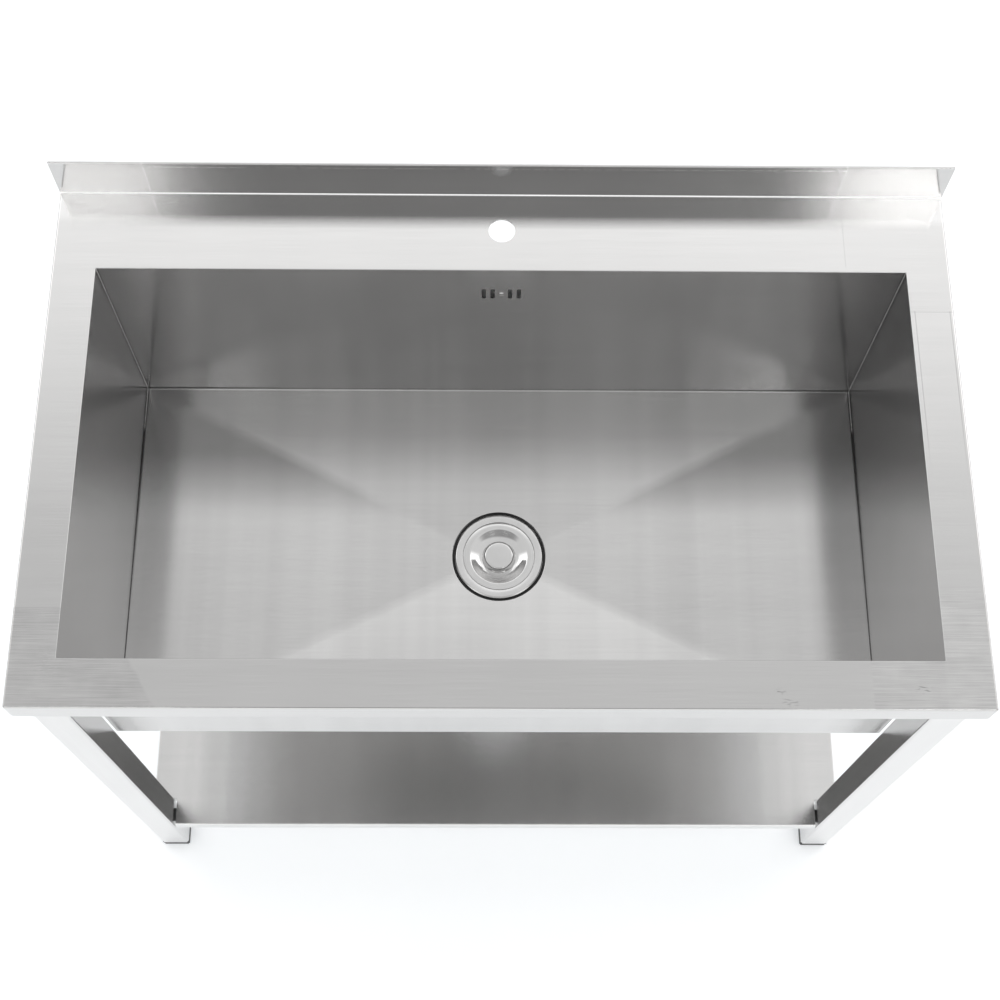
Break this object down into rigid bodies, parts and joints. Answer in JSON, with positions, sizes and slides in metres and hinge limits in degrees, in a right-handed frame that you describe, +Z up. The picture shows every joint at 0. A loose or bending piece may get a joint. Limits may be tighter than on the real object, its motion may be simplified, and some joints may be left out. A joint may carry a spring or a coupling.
{
  "type": "utility laundry sink",
  "caption": "Free-standing stainless laundry sink: one deep rectangular bowl in a folded top with a rear upstand, on square legs with levelling feet and a low shelf.",
  "frame": {"origin": "on the floor, under the middle of the top", "axes": "+X to the right along the length, +Y from the front apron to the upstand, +Z up"},
  "size_m": [1, 0.6, 0.9],
  "materials": {
    "stainless_sheet": "satin, brushed along each sheet",
    "polished_steel": "polished",
    "steel_fastener": "bright machined",
    "black_plastic": "moulded, satin",
    "black_rubber": "matt",
    "white_plastic": "moulded, semi-gloss"
  },
  "bodies": {
    "root": {"sink_top": "stainless_sheet", "rear_rail": "stainless_sheet", "tap_plate": "stainless_sheet", "bowl_wrap": "stainless_sheet", "bowl_end_left": "stainless_sheet", "bowl_end_right": "stainless_sheet", "shelf": "stainless_sheet", "shelf_stiffener": "stainless_sheet", "leg_screws": "steel_fastener", "leg_nuts": "steel_fastener", "shelf_bolts": "steel_fastener", "rivet_nuts": "steel_fastener", "shelf_spacers": "black_plastic", "strainer_cup": "polished_steel", "waste_gasket_upper": "black_rubber", "waste_gasket_lower": "black_rubber", "waste_body": "white_plastic", "overflow_box": "white_plastic", "overflow_pipe": "white_plastic", "overflow_nut_upper": "white_plastic", "overflow_nut_lower": "white_plastic", "overflow_gasket": "black_rubber", "overflow_cone_upper": "black_rubber", "overflow_cone_lower": "black_rubber", "overflow_screw": "steel_fastener", "leg_socket_front_left": "stainless_sheet", "leg_front_left": "stainless_sheet", "foot_insert_front_left": "black_plastic", "leg_socket_front_right": "stainless_sheet", "leg_front_right": "stainless_sheet", "foot_insert_front_right": "black_plastic", "leg_socket_rear_left": "stainless_sheet", "leg_rear_left": "stainless_sheet", "foot_insert_rear_left": "black_plastic", "leg_socket_rear_right": "stainless_sheet", "leg_rear_right": "stainless_sheet", "foot_insert_rear_right": "black_plastic"},
    "basket": {"strainer_basket": "polished_steel", "basket_post": "polished_steel", "basket_seal": "black_rubber"},
    "lid": {"waste_lid": "polished_steel"},
    "foot_front_left": {"foot_pad_front_left": "black_plastic", "foot_stud_front_left": "steel_fastener"},
    "foot_front_right": {"foot_pad_front_right": "black_plastic", "foot_stud_front_right": "steel_fastener"},
    "foot_rear_left": {"foot_pad_rear_left": "black_plastic", "foot_stud_rear_left": "steel_fastener"},
    "foot_rear_right": {"foot_pad_rear_right": "black_plastic", "foot_stud_rear_right": "steel_fastener"}
  },
  "joints": [
    {"name": "basket_lift", "type": "slide", "parent": "root", "child": "basket", "axis": [0, 0, 1], "range_m": [0, 0.09]},
    {"name": "lid_lift", "type": "slide", "parent": "basket", "child": "lid", "axis": [0, 0, 1], "range_m": [0, 0.06]},
    {"name": "foot_front_left_level", "type": "slide", "parent": "root", "child": "foot_front_left", "axis": [0, 0, -1], "range_m": [0, 0.025]},
    {"name": "foot_front_right_level", "type": "slide", "parent": "root", "child": "foot_front_right", "axis": [0, 0, -1], "range_m": [0, 0.025]},
    {"name": "foot_rear_left_level", "type": "slide", "parent": "root", "child": "foot_rear_left", "axis": [0, 0, -1], "range_m": [0, 0.025]},
    {"name": "foot_rear_right_level", "type": "slide", "parent": "root", "child": "foot_rear_right", "axis": [0, 0, -1], "range_m": [0, 0.025]}
  ]
}
